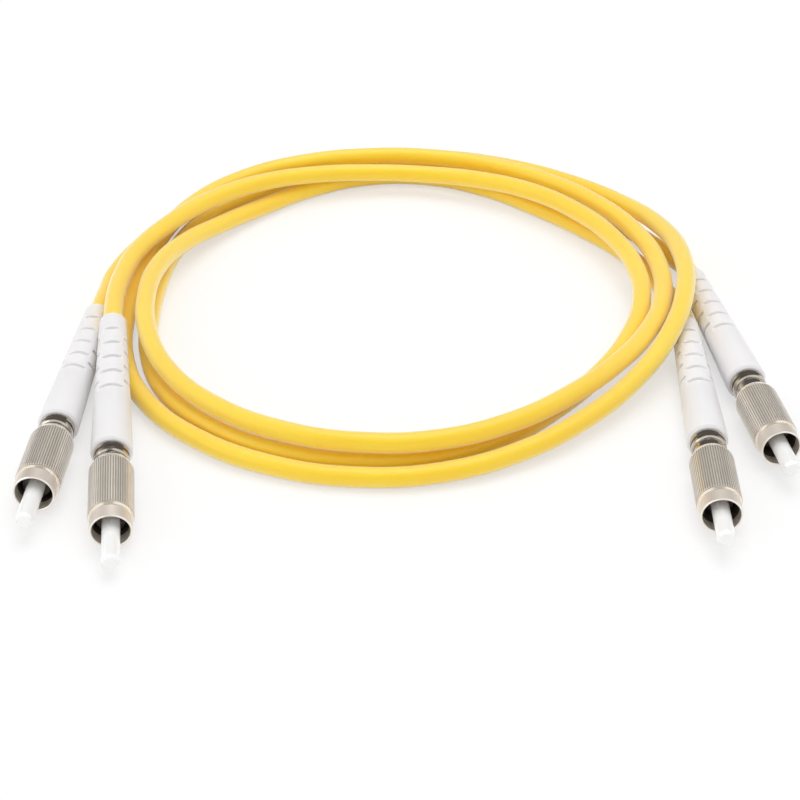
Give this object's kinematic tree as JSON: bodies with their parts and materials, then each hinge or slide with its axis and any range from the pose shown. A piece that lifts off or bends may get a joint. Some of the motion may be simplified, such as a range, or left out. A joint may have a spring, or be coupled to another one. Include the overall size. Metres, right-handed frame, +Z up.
{
  "type": "fiber optic patch cord",
  "caption": "Coiled pair of yellow fiber optic patch cords with white flexible boots and knurled screw coupling connectors holding bare white ferrules.",
  "frame": {"origin": "middle of the box round the four connectors, on the surface that the cords lie on", "axes": "+Z up; +X across the coil, from the pair of connectors on the left to the pair on the right; +Y from the connectors' ferrules back towards the far side of the coil"},
  "size_m": [0.1096, 0.1186, 0.0082],
  "materials": {
    "jacket": "smooth soft PVC jacket, low gloss",
    "boot": "moulded white rubber-like plastic",
    "crimp": "nickel plated",
    "backshell": "dark nickel plate, polished",
    "sleeve": "dark nickel plate",
    "ring": "spring steel",
    "nut": "bright nickel plate over a fine straight knurl",
    "ferrule": "polished white zirconia ceramic",
    "flange": "nickel plated",
    "spring": "drawn spring wire",
    "fibre": "tight buffered fibre, off-white"
  },
  "bodies": {
    "cord_pair": {"boot_a1": "boot", "crimp_sleeve_a1": "crimp", "backshell_a1": "backshell", "front_sleeve_a1": "sleeve", "boot_a2": "boot", "crimp_sleeve_a2": "crimp", "backshell_a2": "backshell", "front_sleeve_a2": "sleeve", "boot_b1": "boot", "crimp_sleeve_b1": "crimp", "backshell_b1": "backshell", "front_sleeve_b1": "sleeve", "boot_b2": "boot", "crimp_sleeve_b2": "crimp", "backshell_b2": "backshell", "front_sleeve_b2": "sleeve", "coil_a": "jacket", "lead_a1": "jacket", "lead_a2": "jacket", "coil_b": "jacket", "lead_b1": "jacket", "lead_b2": "jacket"},
    "ring_a1": {"retaining_ring_a1": "ring"},
    "nut_a1": {"coupling_nut_a1": "nut"},
    "ferrule_set_a1": {"ferrule_a1": "ferrule", "ferrule_flange_a1": "flange", "buffered_fibre_a1": "fibre", "spring_a1": "spring"},
    "ring_a2": {"retaining_ring_a2": "ring"},
    "nut_a2": {"coupling_nut_a2": "nut"},
    "ferrule_set_a2": {"ferrule_a2": "ferrule", "ferrule_flange_a2": "flange", "buffered_fibre_a2": "fibre", "spring_a2": "spring"},
    "ring_b1": {"retaining_ring_b1": "ring"},
    "nut_b1": {"coupling_nut_b1": "nut"},
    "ferrule_set_b1": {"ferrule_b1": "ferrule", "ferrule_flange_b1": "flange", "buffered_fibre_b1": "fibre", "spring_b1": "spring"},
    "ring_b2": {"retaining_ring_b2": "ring"},
    "nut_b2": {"coupling_nut_b2": "nut"},
    "ferrule_set_b2": {"ferrule_b2": "ferrule", "ferrule_flange_b2": "flange", "buffered_fibre_b2": "fibre", "spring_b2": "spring"}
  },
  "joints": [
    {"name": "nut_slide_a1", "type": "slide", "parent": "cord_pair", "child": "ring_a1", "axis": [-0.0488, -0.9985, 0.0262], "range_m": [-0.001, 0.0018]},
    {"name": "nut_spin_a1", "type": "hinge", "parent": "ring_a1", "child": "nut_a1", "pos_m": [-0.05135, -0.01454, 0.00339], "axis": [-0.0488, -0.9985, 0.0262], "continuous": true},
    {"name": "ferrule_float_a1", "type": "slide", "parent": "cord_pair", "child": "ferrule_set_a1", "axis": [-0.0488, -0.9985, 0.0262], "range_m": [-0.0012, 0], "stiffness_N_per_m": 3000, "springref_m": 0.001, "deforming": ["spring_a1"]},
    {"name": "nut_slide_a2", "type": "slide", "parent": "cord_pair", "child": "ring_a2", "axis": [-0.0262, -0.9993, 0.0262], "range_m": [-0.002, 0.0008]},
    {"name": "nut_spin_a2", "type": "hinge", "parent": "ring_a2", "child": "nut_a2", "pos_m": [0.04165, -0.01837, 0.00339], "axis": [-0.0262, -0.9993, 0.0262], "continuous": true},
    {"name": "ferrule_float_a2", "type": "slide", "parent": "cord_pair", "child": "ferrule_set_a2", "axis": [-0.0262, -0.9993, 0.0262], "range_m": [-0.0012, 0], "stiffness_N_per_m": 3000, "springref_m": 0.001, "deforming": ["spring_a2"]},
    {"name": "nut_slide_b1", "type": "slide", "parent": "cord_pair", "child": "ring_b1", "axis": [0.113, -0.9922, -0.0523], "range_m": [-0.001, 0.0018]},
    {"name": "nut_spin_b1", "type": "hinge", "parent": "ring_b1", "child": "nut_b1", "pos_m": [-0.04128, -0.02209, 0.00355], "axis": [0.113, -0.9922, -0.0523], "continuous": true},
    {"name": "ferrule_float_b1", "type": "slide", "parent": "cord_pair", "child": "ferrule_set_b1", "axis": [0.113, -0.9922, -0.0523], "range_m": [-0.0012, 0], "stiffness_N_per_m": 3000, "springref_m": 0.001, "deforming": ["spring_b1"]},
    {"name": "nut_slide_b2", "type": "slide", "parent": "cord_pair", "child": "ring_b2", "axis": [0.1288, -0.9913, 0.0262], "range_m": [-0.002, 0.0008]},
    {"name": "nut_spin_b2", "type": "hinge", "parent": "ring_b2", "child": "nut_b2", "pos_m": [0.05075, -0.00305, 0.00339], "axis": [0.1288, -0.9913, 0.0262], "continuous": true},
    {"name": "ferrule_float_b2", "type": "slide", "parent": "cord_pair", "child": "ferrule_set_b2", "axis": [0.1288, -0.9913, 0.0262], "range_m": [-0.0012, 0], "stiffness_N_per_m": 3000, "springref_m": 0.001, "deforming": ["spring_b2"]}
  ]
}
